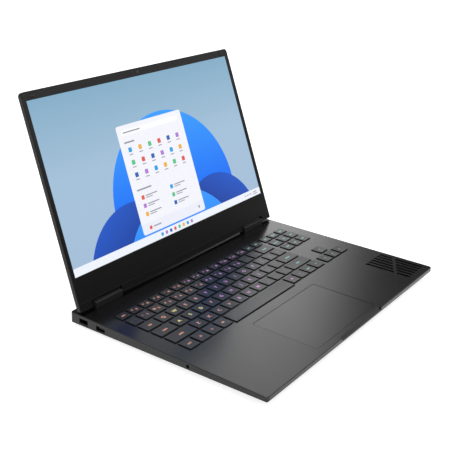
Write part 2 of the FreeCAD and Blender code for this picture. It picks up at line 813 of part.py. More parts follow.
def lid_cable():
    """Flat cable from the camera down to the display's board and the right hinge."""
    z = (lid_inner_back + 0.1, lid_inner_back + 0.4)
    runs = [box((40, 105), (camera_y - 2, camera_y + 2), z), box((100, 105), (20, camera_y + 2), z),
            box((60, 105), (16, 22), z), box((100, 115), (8, 14), z), box((100, 105), (8, 22), z)]
    return on_lid(fuse(runs))


def lid_bumpers():
    z = (bezel_face, bezel_face + 1.35)
    pads = [slab((-174, -166), (lid_top - 6.4, lid_top - 4.6), z, 0.85)]
    pads.append(mirrored(pads[0]))
    return on_lid(group(pads))


# ---------------------------------------------------------------- all parts
def all_parts():
    keys = key_table()
    parts = {
        "top_cover": top_cover(keys),
        "bottom_cover": bottom_cover(),
        "bottom_screws": bottom_screws(),
        "rubber_feet": rubber_feet(),
        "palm_grille_mesh": palm_grille_mesh(),
        "keyboard_backplate": keyboard_backplate(),
        "keyboard_membrane": keyboard_membrane(),
        "key_domes": key_domes(keys),
        "key_scissors": key_scissors(keys),
        "touchpad_plate": touchpad_plate(),
        "touchpad_frame": touchpad_frame(),
        "mainboard": mainboard(),
        "processor_chips": processor_chips(),
        "heat_pipes": heat_pipes(),
        "cooling_fins": cooling_fins(),
        "left_fan_housing": left_fan_housing(),
        "right_fan_housing": mirrored(left_fan_housing()),
        "left_impeller": left_impeller(),
        "right_impeller": mirrored(left_impeller()),
        "battery_pack": battery_pack(),
        "storage_drive": storage_drive(),
        "memory_modules": memory_modules(),
        "wireless_card": wireless_card(),
        "speaker_boxes": speaker_boxes(),
        "base_cables": base_cables(),
        "network_socket": network_socket(),
        "network_jaw": network_jaw(),
        "usb_sockets": usb_sockets(),
        "video_socket": video_socket(),
        "audio_socket": audio_socket(),
        "power_inlet": power_inlet(),
        "hinge_base_brackets": hinge_base_brackets(),
        "hinge_covers": hinge_covers(),
        "hinge_pins": hinge_pins(),
        "hinge_lid_brackets": hinge_lid_brackets(),
        "lid_back_cover": lid_back_cover(),
        "display_bezel": display_bezel(),
        "display_glass": display_glass(),
        "backlight_unit": backlight_unit(),
        "display_driver_board": display_driver_board(),
        "webcam_module": webcam_module(),
        "wireless_antennas": wireless_antennas(),
        "lid_cable": lid_cable(),
        "lid_bumpers": lid_bumpers(),
    }
    parts.update(key_parts(keys))
    return parts


model = all_parts()
model_depth = max(shape.BoundBox.YMax for shape in model.values())
to_frame = Vector(0, -model_depth / 2, -floor_z)

os.makedirs("parts", exist_ok=True)
for part_name, part_shape in model.items():
    part_shape.translate(to_frame)
    part_shape.exportStep("parts/" + part_name + ".step")
print(len(model), "parts, origin moved by", tuple(to_frame))
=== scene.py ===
import json
import math

import bmesh
import bpy
from mathutils import Matrix, Vector


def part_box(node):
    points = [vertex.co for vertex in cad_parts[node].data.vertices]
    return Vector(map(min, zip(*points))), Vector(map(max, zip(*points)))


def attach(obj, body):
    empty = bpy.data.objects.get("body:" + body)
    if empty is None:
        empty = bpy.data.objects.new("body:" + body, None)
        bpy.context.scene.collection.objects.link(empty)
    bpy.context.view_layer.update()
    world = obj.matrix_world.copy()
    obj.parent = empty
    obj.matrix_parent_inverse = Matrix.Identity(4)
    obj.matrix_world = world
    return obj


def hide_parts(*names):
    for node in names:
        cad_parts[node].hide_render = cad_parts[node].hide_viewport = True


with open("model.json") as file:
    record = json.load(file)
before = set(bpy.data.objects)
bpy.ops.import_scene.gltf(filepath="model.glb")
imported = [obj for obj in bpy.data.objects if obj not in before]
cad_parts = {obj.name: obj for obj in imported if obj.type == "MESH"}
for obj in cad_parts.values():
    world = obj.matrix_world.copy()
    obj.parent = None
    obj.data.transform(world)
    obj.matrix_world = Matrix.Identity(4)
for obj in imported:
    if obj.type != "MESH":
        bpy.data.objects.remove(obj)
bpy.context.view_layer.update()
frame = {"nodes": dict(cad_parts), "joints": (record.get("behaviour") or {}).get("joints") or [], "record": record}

# Looks of the open laptop computer. Everything is in metres, in the frame of the CAD parts:
# X to the user's right, Y towards the hinge, Z up. Lengths named here are in millimetres where
# they are multiplied by MM.

MM = 0.001
nodes = frame["nodes"]
deck_low, deck_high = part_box("top_cover")
deck = Vector((0, deck_low.y, deck_high.z))

OPEN_ANGLE = math.radians(110.2)
hinge = Vector(next(joint["pos_m"] for joint in frame["joints"] if joint["name"] == "lid_hinge"))
# The lid's own frame: its origin on the hinge axis, Y up the lid and Z towards the viewer.
lid = Matrix.Translation(hinge) @ Matrix.Rotation(math.pi - OPEN_ANGLE, 4, "X")


def on_deck(x, y, z):
    """Point in millimetres from the middle of the base's front edge, on the deck's surface."""
    return deck + MM * Vector((x, y, z))


# ---------------------------------------------------------------- camera, floor and light
CAMERA_PLACE = (-758.99, -371.5, 449.32)    # on the deck's frame, in millimetres
CAMERA_HEADING = math.radians(-53.34)
CAMERA_PITCH_DOWN = math.radians(15.77)
CAMERA_ROLL = math.radians(1.332)
SENSOR_WIDTH = 36.0
FOCAL_LENGTH = 67.44
FRAME_SHIFT = -0.2111

FLOOR_HALF = 14.0
FLOOR_TONE = (0.6, 0.6, 0.6)
FLOOR_GLOW = 0.75
SOFTBOX_PLACE = (-1.6, -0.9, 1.1)
SOFTBOX_TARGET = (0, 0, 0.05)
SOFTBOX_SIZE = (1.4, 1.0)
SOFTBOX_POWER = 6

# The studio's light by direction. Heights are the sine of the elevation.
HORIZON_LIGHT = 0.12
ZENITH_LIGHT = 1.9
OVERHEAD_FROM = 0.60
OVERHEAD_TO = 0.88
STRIP_AZIMUTH = math.radians(34.0)
STRIP_HALF_WIDTH = math.radians(8.0)
STRIP_LIGHT = 2.8
STRIP_HEIGHT = 0.45
STRIP_HALF_HEIGHT = 0.17
RING_FULL_FROM = math.radians(40)           # away from the strip's azimuth
RING_STARTS_AT = math.radians(20)
RING_LIGHT = 1.1


def make_camera():
    data = bpy.data.cameras.new("camera")
    data.sensor_width = SENSOR_WIDTH
    data.lens = FOCAL_LENGTH
    data.shift_y = FRAME_SHIFT
    camera = bpy.data.objects.new("camera", data)
    bpy.context.scene.collection.objects.link(camera)
    turn = Matrix.Rotation(CAMERA_HEADING, 4, "Z")
    tilt = Matrix.Rotation(math.pi / 2 - CAMERA_PITCH_DOWN, 4, "X")
    roll = Matrix.Rotation(CAMERA_ROLL, 4, "Z")
    camera.matrix_world = Matrix.Translation(on_deck(*CAMERA_PLACE)) @ turn @ tilt @ roll
    bpy.context.scene.camera = camera


def make_softbox():
    data = bpy.data.lights.new("left_softbox", "AREA")
    data.shape = "RECTANGLE"
    data.size, data.size_y = SOFTBOX_SIZE
    data.energy = SOFTBOX_POWER
    light = bpy.data.objects.new("left_softbox", data)
    bpy.context.scene.collection.objects.link(light)
    direction = Vector(SOFTBOX_TARGET) - Vector(SOFTBOX_PLACE)
    light.rotation_euler = direction.to_track_quat("-Z", "Y").to_euler()
    light.location = SOFTBOX_PLACE


def make_sky():
    """Studio round the object: bright overhead, dim low down, one upright strip light behind it,
    and a weaker ring of light at the strip's height on the other sides."""
    world = bpy.data.worlds.new("studio")
    world.use_nodes = True
    tree = world.node_tree
    way = add_node(tree, "ShaderNodeTexCoord").outputs["Generated"]
    height = add_node(tree, "ShaderNodeSeparateXYZ", {"Vector": way}).outputs["Z"]
    overhead = add_node(tree, "ShaderNodeMapRange",
                        {"Value": height, "From Min": OVERHEAD_FROM, "From Max": OVERHEAD_TO,
                         "To Min": HORIZON_LIGHT, "To Max": ZENITH_LIGHT}).outputs[0]
    level = add_node(tree, "ShaderNodeVectorMath", {0: way, 1: (1, 1, 0)}, operation="MULTIPLY")
    heading = add_node(tree, "ShaderNodeVectorMath", {0: level.outputs[0]}, operation="NORMALIZE")
    toward = (math.cos(STRIP_AZIMUTH), math.sin(STRIP_AZIMUTH), 0)
    near = add_node(tree, "ShaderNodeVectorMath", {0: heading.outputs[0], 1: toward},
                    operation="DOT_PRODUCT").outputs["Value"]
    across = add_node(tree, "ShaderNodeMapRange",
                      {"Value": near, "From Min": math.cos(STRIP_HALF_WIDTH), "From Max": 1.0,
                       "To Min": 0.0, "To Max": STRIP_LIGHT},
                      interpolation_type="SMOOTHSTEP").outputs[0]
    around = add_node(tree, "ShaderNodeMapRange",
                      {"Value": near, "From Min": math.cos(RING_FULL_FROM),
                       "From Max": math.cos(RING_STARTS_AT), "To Min": RING_LIGHT, "To Max": 0.0},
                      interpolation_type="SMOOTHSTEP").outputs[0]
    both = math_node(tree, "ADD", across, around)
    upright = math_node(tree, "COMPARE", height, STRIP_HEIGHT, STRIP_HALF_HEIGHT)
    total = math_node(tree, "ADD", overhead, math_node(tree, "MULTIPLY", both, upright))
    # Seen directly, past the edge of the floor, the studio is as white as the floor.
    seen = add_node(tree, "ShaderNodeLightPath").outputs["Is Camera Ray"]
    background = tree.nodes["Background"]
    background.inputs["Color"].default_value = (1, 1, 1, 1)
    tree.links.new(math_node(tree, "MAXIMUM", total, seen), background.inputs["Strength"])
    bpy.context.scene.world = world


def make_stage():
    """Pale floor, lit from itself so that shadows on it stay faint."""
    bpy.context.scene.view_settings.view_transform = "Standard"
    bm = bmesh.new()
    for x, y in ((-1, -1), (1, -1), (1, 1), (-1, 1)):
        bm.verts.new((FLOOR_HALF * x, FLOOR_HALF * y, 0))
    bm.faces.new(bm.verts)
    mesh = bpy.data.meshes.new("floor")
    bm.to_mesh(mesh)
    bm.free()
    floor = bpy.data.objects.new("floor", mesh)
    bpy.context.scene.collection.objects.link(floor)
    paper = surface("floor_paper", FLOOR_TONE, 0.95, grain=40, mottle=0.01, bump=0.0)
    shader = paper.node_tree.nodes["Principled BSDF"]
    shader.inputs["Emission Color"].default_value = (1, 1, 1, 1)
    shader.inputs["Emission Strength"].default_value = FLOOR_GLOW
    mesh.materials.append(paper)
    make_softbox()


# ---------------------------------------------------------------- materials
def add_node(tree, kind, inputs=(), **settings):
    node = tree.nodes.new(kind)
    for name, value in settings.items():
        setattr(node, name, value)
    for name, value in dict(inputs).items():
        if isinstance(value, bpy.types.NodeSocket):
            tree.links.new(value, node.inputs[name])
        else:
            node.inputs[name].default_value = value
    return node


def math_node(tree, operation, *values):
    inputs = dict(enumerate(values))
    return add_node(tree, "ShaderNodeMath", inputs, operation=operation).outputs[0]


def mix_colors(tree, factor, first, second):
    """Blend of two colours. The Mix node has one socket of each name for every data type, so its
    colour sockets are told by number."""
    inputs = {"Factor": factor, 6: first, 7: second}
    return add_node(tree, "ShaderNodeMix", inputs, data_type="RGBA").outputs[2]


def object_place(tree):
    return add_node(tree, "ShaderNodeTexCoord").outputs["Object"]


def new_material(name):
    material = bpy.data.materials.new(name)
    material.use_nodes = True
    tree = material.node_tree
    shader = tree.nodes["Principled BSDF"]
    return material, tree, shader


def rgba(color, factor=1.0):
    return tuple(min(1.0, channel * factor) for channel in color[:3]) + (1.0,)


def surface(name, color, rough, metal=0.0, grain=900.0, bump=0.05, mottle=0.15, patch=14.0,
            wear_and_highlight=0.0, streaks=None, coat=0.0, specular=0.5):
    """Moulded, painted or metal surface: fine grain, slow patches of tone, and lightened edges that are partly
    wear and partly a painted highlight.
    """
    material, tree, shader = new_material(name)
    shader.inputs["Metallic"].default_value = metal
    shader.inputs["Coat Weight"].default_value = coat
    shader.inputs["Specular IOR Level"].default_value = specular
    place = object_place(tree)
    if streaks:
        place = add_node(tree, "ShaderNodeMapping", {"Vector": place, "Scale": streaks}).outputs[0]
    fine = add_node(tree, "ShaderNodeTexNoise",
                    {"Vector": place, "Scale": grain, "Detail": 3.0,
                     "Roughness": 0.6}).outputs["Fac"]
    broad = add_node(tree, "ShaderNodeTexNoise",
                     {"Vector": place, "Scale": patch, "Detail": 4.0}).outputs["Fac"]
    blend = math_node(tree, "MULTIPLY", fine, broad)
    tone = add_node(tree, "ShaderNodeMapRange",
                    {"Value": blend, "From Min": 0.12, "From Max": 0.42}).outputs[0]
    painted = mix_colors(tree, tone, rgba(color, 1 - mottle), rgba(color, 1 + mottle))
    # Lightened edges: partly wear, partly a painted highlight along the edges.
    if wear_and_highlight:
        painted = mix_colors(tree, edge_mask(tree, fine), painted, rgba(color, 1 + wear_and_highlight))
    tree.links.new(painted, shader.inputs["Base Color"])
    gloss = add_node(tree, "ShaderNodeMapRange",
                     {"Value": tone, "To Min": rough * 0.88,
                      "To Max": min(1.0, rough * 1.12)}).outputs[0]
    tree.links.new(gloss, shader.inputs["Roughness"])
    relief = add_node(tree, "ShaderNodeBump",
                      {"Height": fine, "Strength": bump, "Distance": 0.0002})
    tree.links.new(relief.outputs[0], shader.inputs["Normal"])
    return material


def edge_mask(tree, breakup):
    """White along convex edges, broken up by the grain; it lightens edges both as wear and as a painted edge
    highlight.
    """
    bevel = add_node(tree, "ShaderNodeBevel", {"Radius": 0.0006}, samples=4).outputs[0]
    flat = add_node(tree, "ShaderNodeNewGeometry").outputs["Normal"]
    along = add_node(tree, "ShaderNodeVectorMath", {0: bevel, 1: flat}, operation="DOT_PRODUCT")
    edge = add_node(tree, "ShaderNodeMapRange",
                    {"Value": along.outputs["Value"], "From Min": 0.995,
                     "From Max": 0.90}).outputs[0]
    return math_node(tree, "MULTIPLY", edge, breakup)


def glow(name, color, strength):
    """Lit legend or plain area of the picture."""
    material, tree, shader = new_material(name)
    noise = add_node(tree, "ShaderNodeTexNoise",
                     {"Vector": object_place(tree), "Scale": 220.0}).outputs["Fac"]
    lit = mix_colors(tree, noise, rgba(color, 0.94), rgba(color, 1.03))
    tree.links.new(lit, shader.inputs["Emission Color"])
    shader.inputs["Emission Strength"].default_value = strength
    shader.inputs["Base Color"].default_value = (0.02, 0.02, 0.02, 1)
    shader.inputs["Roughness"].default_value = 0.35
    shader.inputs["Specular IOR Level"].default_value = 0.2
    return material


def glow_ramp(name, stops, start, end):
    """Lit area whose colour runs from start to end, two points in the screen's own frame."""
    material, tree, shader = new_material(name)
    offset = add_node(tree, "ShaderNodeVectorMath", {0: object_place(tree), 1: tuple(start)},
                      operation="SUBTRACT")
    line = Vector(end) - Vector(start)
    share = add_node(tree, "ShaderNodeVectorMath",
                     {0: offset.outputs[0], 1: tuple(line / line.length_squared)},
                     operation="DOT_PRODUCT").outputs["Value"]
    ramp = add_node(tree, "ShaderNodeValToRGB", {"Fac": share})
    elements = ramp.color_ramp.elements
    while len(elements) < len(stops):
        elements.new(0.5)
    for element, (position, color) in zip(elements, stops):
        element.position = position
        element.color = rgba(color)
    tree.links.new(ramp.outputs["Color"], shader.inputs["Emission Color"])
    shader.inputs["Emission Strength"].default_value = 1.0
    shader.inputs["Base Color"].default_value = (0.01, 0.01, 0.01, 1)
    shader.inputs["Roughness"].default_value = 0.4
    shader.inputs["Specular IOR Level"].default_value = 0.2
    return material


# One finish for each material slot of the parts.
FINISHES = {
    "deck_metal": dict(color=(0.030, 0.030, 0.0305), rough=0.21, metal=0.85, grain=1400, bump=0.03,
                       mottle=0.05, wear_and_highlight=2.5),
    "cover_plastic": dict(color=(0.02, 0.02, 0.021), rough=0.6, grain=1200, bump=0.25, wear_and_highlight=0.3),
    "lid_metal": dict(color=(0.022, 0.022, 0.0224), rough=0.40, metal=0.85, grain=1400, bump=0.05,
                      mottle=0.05, wear_and_highlight=2.0),
    "bezel_plastic": dict(color=(0.0046, 0.0046, 0.0047), rough=0.55, grain=1600, bump=0.15,
                          wear_and_highlight=0.8, specular=0.12),
    "hinge_plastic": dict(color=(0.011, 0.011, 0.011), rough=0.45, grain=1600, bump=0.15, wear_and_highlight=2.5,
                          specular=0.35),
    "keycap_plastic": dict(color=(0.03, 0.03, 0.031), rough=0.5, grain=1800, bump=0.12, wear_and_highlight=0.4),
    "touchpad_surface": dict(color=(0.031, 0.031, 0.0315), rough=0.20, metal=0.85, grain=2200,
                             bump=0.02, mottle=0.04, wear_and_highlight=3.0),
    "trim_plastic": dict(color=(0.008, 0.008, 0.008), rough=0.5, grain=1500, bump=0.15, wear_and_highlight=0.6,
                         specular=0.15),
    "foot_rubber": dict(color=(0.015, 0.015, 0.015), rough=0.85, grain=700, bump=0.5),
    "mesh_metal": dict(color=(0.006, 0.006, 0.006), rough=0.7, metal=0.2, grain=1000, bump=0.1),
    "screw_steel": dict(color=(0.12, 0.12, 0.125), rough=0.4, metal=1.0, grain=1500, wear_and_highlight=1.5),
    "plate_steel": dict(color=(0.42, 0.42, 0.43), rough=0.35, metal=1.0, grain=500, mottle=0.1,
                        streaks=(1, 0.05, 1)),
    "pin_steel": dict(color=(0.38, 0.38, 0.39), rough=0.25, metal=1.0, grain=800, mottle=0.1,
                      streaks=(0.05, 1, 1)),
    # Painted shade: socket shells near-black, as the shade inside the ports.
    "socket_steel": dict(color=(0.03, 0.03, 0.031), rough=0.5, metal=0.9, grain=600, mottle=0.15),
    "membrane_film": dict(color=(0.02, 0.02, 0.02), rough=0.5, grain=300, mottle=0.1),
    "dome_rubber": dict(color=(0.03, 0.03, 0.03), rough=0.6, grain=500, mottle=0.1),
    "scissor_plastic": dict(color=(0.02, 0.02, 0.02), rough=0.5, grain=500, mottle=0.1),
    "board_laminate": dict(color=(0.012, 0.06, 0.032), rough=0.45, grain=260, mottle=0.35,
                           patch=60),
    "chip_plastic": dict(color=(0.02, 0.02, 0.022), rough=0.5, grain=900),
    "pipe_copper": dict(color=(0.62, 0.27, 0.15), rough=0.32, metal=1.0, grain=300, mottle=0.2),
    "fin_aluminium": dict(color=(0.60, 0.61, 0.62), rough=0.35, metal=1.0, grain=700, mottle=0.1),
    "fan_plastic": dict(color=(0.02, 0.02, 0.02), rough=0.55, grain=900, bump=0.15),
    "impeller_plastic": dict(color=(0.03, 0.03, 0.031), rough=0.45, grain=900),
    "battery_plastic": dict(color=(0.03, 0.03, 0.032), rough=0.4, grain=200, mottle=0.2),
    "speaker_plastic": dict(color=(0.02, 0.02, 0.02), rough=0.55, grain=900, bump=0.2),
    "ribbon_film": dict(color=(0.30, 0.14, 0.03), rough=0.3, grain=400, streaks=(1, 0.1, 1)),
    "backlight_film": dict(color=(0.6, 0.6, 0.6), rough=0.5, grain=200),
    "camera_plastic": dict(color=(0.01, 0.01, 0.014), rough=0.12, grain=500, bump=0.0, coat=0.6),
    "antenna_foil": dict(color=(0.6, 0.58, 0.5), rough=0.3, metal=1.0, grain=300),
    "screen_surface": dict(color=(0.012, 0.012, 0.014), rough=0.25, grain=300, bump=0.0),
}
materials = {slot: surface(slot, **finish) for slot, finish in FINISHES.items()}


def within(tree, place, low, high):
    """One inside a box and zero outside it."""
    axes = add_node(tree, "ShaderNodeSeparateXYZ", {"Vector": place}).outputs
    inside = 1.0
    for axis in range(3):
        fits = math_node(tree, "COMPARE", axes[axis], (low[axis] + high[axis]) / 2,
                         (high[axis] - low[axis]) / 2)
        inside = math_node(tree, "MULTIPLY", fits, inside)
    return inside


def base_color(material):
    """Tree, shader and the socket that feeds the shader's base colour."""
    tree = material.node_tree
    shader = tree.nodes["Principled BSDF"]
    return tree, shader, shader.inputs["Base Color"].links[0].from_socket


def paint_shade_boxes(material, boxes):
    """Painted shade: matt black inside each box."""
    tree, shader, color = base_color(material)
    place = object_place(tree)
    painted = 0.0
    for low, high in boxes:
        painted = math_node(tree, "MAXIMUM", within(tree, place, low, high), painted)
    tree.links.new(mix_colors(tree, painted, color, (0.002, 0.002, 0.002, 1)),
                   shader.inputs["Base Color"])
    for name in ("Metallic", "Specular IOR Level"):
        value = shader.inputs[name].default_value
        fade = add_node(tree, "ShaderNodeMapRange",
                        {"Value": painted, "To Min": value, "To Max": 0.02})
        tree.links.new(fade.outputs[0], shader.inputs[name])


def scale_color(material, value, **ends):
    """Base colour times a factor that a value is mapped to."""
    tree, shader, color = base_color(material)
    settings = {name.replace("_", " ").title(): end for name, end in ends.items()}
    factor = add_node(tree, "ShaderNodeMapRange", {"Value": value, **settings}).outputs[0]
    scaled = add_node(tree, "ShaderNodeVectorMath", {0: color, "Scale": factor}, operation="SCALE")
    tree.links.new(scaled.outputs[0], shader.inputs["Base Color"])


def paint_light_with_height(material, low_z, high_z, gain):
    """Painted light: tone that rises with height, up to gain times the base colour."""
    tree = material.node_tree
    height = add_node(tree, "ShaderNodeSeparateXYZ", {"Vector": object_place(tree)}).outputs["Z"]
    scale_color(material, height, from_min=low_z, from_max=high_z, to_min=1.0, to_max=gain)


def paint_crease_highlight(material, height, half, gain):
    """Painted highlight: lighter line across the chin's crease, at a height above the hinge axis along the lid."""
    tree = material.node_tree
    up = lid.to_3x3() @ Vector((0, 1, 0))
    along = add_node(tree, "ShaderNodeVectorMath", {0: object_place(tree), 1: tuple(up)},
                     operation="DOT_PRODUCT").outputs["Value"]
    line = math_node(tree, "COMPARE", along, up.dot(lid.translation) + height, half)
    scale_color(material, line, to_min=1.0, to_max=gain)


# Painted shade on the deck: a black band under the hinge, a strip behind it, and black walls in the cut-outs and
# round the touchpad.
BAND_END = 1.5 * MM             # bare deck left at each end of the black band under the hinge
REAR_END = 10 * MM              # and of the black strip behind it
BAND_FRONT = 4.5 * MM
BAND_REAR = 7 * MM
DECK_SKIN = 0.06 * MM           # top of the deck that stays bare round a cut-out
PAD_SKIN = 0.03 * MM
CUT_OUT_FILLERS = ("palm_grille_mesh", "touchpad_frame", "keyboard_backplate")
CREASE_HEIGHT = 7.9 * MM
CREASE_HALF = 0.35 * MM


def paint_light_and_shade():
    """Painted shade: a black band under the hinge and a strip behind it, black walls in the deck's cut-outs and
    round the touchpad. Painted light on the bezel: lighter towards the top, with a painted highlight along the
    chin's crease.
    """
    top = deck_high.z
    # Painted shade: matt black band under the hinge and strip behind it.
    boxes = [(Vector((deck_low.x + BAND_END, hinge.y - BAND_FRONT, top - 2 * MM)),
              Vector((deck_high.x - BAND_END, hinge.y + BAND_REAR, top + MM))),
             (Vector((deck_low.x + REAR_END, hinge.y, top - 2 * MM)),
              Vector((deck_high.x - REAR_END, deck_high.y + MM, top + MM)))]
    # Painted shade: black walls in the cut-outs, under a thin bare skin of the deck.
    for node in CUT_OUT_FILLERS:
        low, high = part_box(node)
        boxes.append((Vector((low.x, low.y, top - 3 * MM)),
                      Vector((high.x, high.y, top - DECK_SKIN))))
    paint_shade_boxes(materials["deck_metal"], boxes)
    # Painted shade: black sides round the touchpad, under its top.
    low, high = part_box("touchpad_plate")
    skin = Vector((0, 0, PAD_SKIN))
    paint_shade_boxes(materials["touchpad_surface"], [(low - skin, high - skin)])
    # Painted light: the bezel grows lighter towards its top.
    paint_light_with_height(materials["bezel_plastic"], 0.10, 0.25, 4.5)
    # Painted highlight along the crease of the chin.
    paint_crease_highlight(materials["bezel_plastic"], CREASE_HEIGHT, CREASE_HALF, 3.0)


# Painted shade: hinge pins, brackets, touchpad frame and the notch strips are near-black, standing in for the
# shade in the gaps where they show.
shade_black_steel = surface("hinge_shade_black", (0.006, 0.006, 0.006), 0.6, metal=0.3, grain=800, mottle=0.1,
                      specular=0.1)
SHADE_BLACK_NODES = ("hinge_pins", "hinge_lid_brackets", "hinge_base_brackets", "touchpad_frame")


def finish_cad_nodes():
    for part in frame["record"]["subparts"]:
        node = part["node"]
        finish = shade_black_steel if node in SHADE_BLACK_NODES else materials[part["material_slot"]]
        mesh = nodes[node].data
        mesh.materials.clear()
        mesh.materials.append(finish)


# ---------------------------------------------------------------- mesh helpers
def make_piece(name, bm, body, finishes, matrix=Matrix.Identity(4)):
    """Object from a finished bmesh, drawn in the frame that the matrix gives, riding a body."""
    bmesh.ops.recalc_face_normals(bm, faces=bm.faces)
    mesh = bpy.data.meshes.new(name)
    bm.to_mesh(mesh)
    bm.free()
    for finish in finishes:
        mesh.materials.append(finish)
    piece = bpy.data.objects.new(name, mesh)
    bpy.context.scene.collection.objects.link(piece)
    piece.matrix_world = matrix
    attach(piece, body)
    return piece


def rounded_rectangle(low, high, radius, steps=4):
    """Points round a rectangle with arcs at its corners, anticlockwise from the lower right."""
    points = []
    centers = ((high[0] - radius, low[1] + radius, -90), (high[0] - radius, high[1] - radius, 0),
               (low[0] + radius, high[1] - radius, 90), (low[0] + radius, low[1] + radius, 180))
    for x, y, start in centers:
        for step in range(steps + 1):
            angle = math.radians(start + 90 * step / steps)
            points.append((x + radius * math.cos(angle), y + radius * math.sin(angle)))
    return points


def add_prism(bm, outline, bottom, top, matrix=Matrix.Identity(4), material=0):
    """Closed solid between two heights over an outline."""
    lower = [bm.verts.new(matrix @ Vector((x, y, bottom))) for x, y in outline]
    upper = [bm.verts.new(matrix @ Vector((x, y, top))) for x, y in outline]
    count = len(outline)
    faces = [bm.faces.new(upper), bm.faces.new(lower[::-1])]
    for i in range(count):
        j = (i + 1) % count
        faces.append(bm.faces.new((lower[i], lower[j], upper[j], upper[i])))
    for face in faces:
        face.material_index = material


# ---------------------------------------------------------------- keycaps
ROW_STEP = 5 * MM               # keys less than this apart front to back are in one row
CAP_CORNER = 1.3 * MM
# Section of a cap's side and top, in millimetres: depth under the top, then distance from the edge.
CAP_PROFILE = ((1.2, 0.08), (0.12, 0.5), (0.03, 0.58), (0.0, 0.75), (0.03, 1.6), (0.12, 4.2))
FIRST_TOP_LEVEL = 2
def solids_of(node):
    """Boxes of a node's separate solids, row by row from the back, each row from the left."""
    bm = bmesh.new()
    bm.from_mesh(nodes[node].data)
    bmesh.ops.remove_doubles(bm, verts=bm.verts, dist=1e-6)
    left = set(bm.verts)
    boxes = []
    while left:
        queue = [left.pop()]
        island = list(queue)
        while queue:
            for edge in queue.pop().link_edges:
                for vert in edge.verts:
                    if vert in left:
                        left.remove(vert)
                        queue.append(vert)
                        island.append(vert)
        boxes.append((Vector([min(v.co[a] for v in island) for a in range(3)]),
                      Vector([max(v.co[a] for v in island) for a in range(3)])))
    bm.free()
    return sorted(boxes, key=lambda box: (-round(box[0].y / ROW_STEP), box[0].x))


def add_keycap(bm, low, high):
    """Cap with upright sides, a rolled edge and a slightly dished top."""
    levels = [(low.z, 0.0)] + [(high.z - drop * MM, inset * MM) for drop, inset in CAP_PROFILE]
    loops = []
    for z, inset in levels:
        corner = max(CAP_CORNER - inset, 0.5 * MM) + max(0.0, inset - CAP_CORNER) * 0.4
        outline = rounded_rectangle((low.x + inset, low.y + inset),
                                    (high.x - inset, high.y - inset), corner)
        loops.append([bm.verts.new((x, y, z)) for x, y in outline])
    count = len(loops[0])
    for level, (lower, upper) in enumerate(zip(loops, loops[1:])):
        for i in range(count):
            j = (i + 1) % count
            face = bm.faces.new((lower[i], lower[j], upper[j], upper[i]))
            # Lower levels take the second finish, painted shade on the caps' sides.
            face.material_index = 0 if level >= FIRST_TOP_LEVEL else 1
            face.smooth = True
    bm.faces.new(loops[-1]).smooth = True
    bm.faces.new(loops[0][::-1]).material_index = 1


# Legends of each part's keys, row by row from the left: main marks, second marks, colours.
# A second mark stands at the upper left, and the main mark then moves to the lower right.
FUNCTION_ICONS = ("ring", "play", "bars", "dots", "square", "bars", "play", "ring", "dots",
                  "square", "bars", "play")
LEGENDS = {
    "escape_key": (("esc",), (None,), "o"),
    "function_row_keys": (tuple("f%d" % n for n in range(1, 13)) + ("ins", "prt"),
                          FUNCTION_ICONS + (None, None), "ooooommmmmmmcc"),
    "number_row_keys": ("`1234567890-=", "~!@#$%^&*()_+", "doooooommmmdd"),
    "backspace_key": (("back",), (None,), "c"),
    "tab_key": (("tab",), (None,), "o"),
    "top_letter_keys": ("QWERTYUIOP[]\\", (None,) * 13, "oyoommmmmmvvk"),
    "caps_lock_key": (("caps",), (None,), "o"),
    "home_letter_keys": ("ASDFGHJKL;'", (None,) * 11, "yyyommmmmvv"),
    "enter_key": (("enter",), (None,), "c"),
    "left_shift_key": (("shift",), (None,), "o"),
    "bottom_letter_keys": ("ZXCVBNM,./", (None,) * 10, "oooommmvvv"),
    "right_shift_key": (("shift",), (None,), "c"),
    "space_bar": (("",), (None,), "o"),
    "bottom_row_keys": (("ctrl", "fn", "ring", "alt", "alt", "dots", "ctrl", "ring"), (None,) * 8,
                        "oooommcc"),
    "navigation_keys": (("calc", "num", "pwr", "home", "up", "del", "end", "dn", "sys"),
                        (None,) * 9, "ccccccccc"),
    "arrow_keys": (("up_arrow", "left_arrow", "down_arrow", "right_arrow"), (None,) * 4, "cccc"),
}
LEGEND_COLORS = {
    "o": ((0.80, 0.34, 0.24), 1.0),
    "y": ((0.88, 0.80, 0.28), 1.0),
    "m": ((0.62, 0.29, 0.64), 1.0),
    "c": ((0.24, 0.62, 0.60), 0.9),
    "v": ((0.42, 0.27, 0.42), 0.6),
    "k": ((0.25, 0.42, 0.42), 0.6),
    "d": ((0.25, 0.22, 0.22), 0.6),
}
legend_materials = {key: glow("legend_" + key, *look) for key, look in LEGEND_COLORS.items()}
LEGEND_KEYS = sorted(LEGEND_COLORS)


ARROW_TURNS = {"right_arrow": 0, "up_arrow": 90, "left_arrow": 180, "down_arrow": 270}
ICONS = ("ring", "play", "bars", "dots", "square") + tuple(ARROW_TURNS)


def icon_outlines(kind):
    """Simple marks, about one unit across, as closed outlines."""
    if kind == "ring":
        return [ring_part(0.5, 0.34, start, start + 174) for start in (3, 183)]
    if kind == "play":
        return [((-0.4, -0.5), (0.5, 0.0), (-0.4, 0.5))]
    if kind == "bars":
        return [bar(-0.4 + 0.32 * i, -0.5, 0.18, 0.35 + 0.3 * i) for i in range(3)]
    if kind == "dots":
        return [bar(-0.5 + 0.4 * i, -0.12, 0.22, 0.24) for i in range(3)]
    if kind == "square":
        return [bar(-0.5, -0.45, 1.0, 0.16), bar(-0.5, 0.29, 1.0, 0.16),
                bar(-0.5, -0.29, 0.16, 0.58), bar(0.34, -0.29, 0.16, 0.58)]
    spin = Matrix.Rotation(math.radians(ARROW_TURNS[kind]), 2)
    return [[tuple(spin @ Vector(p)) for p in ((-0.3, -0.5), (0.5, 0.0), (-0.3, 0.5), (-0.1, 0.0))]]


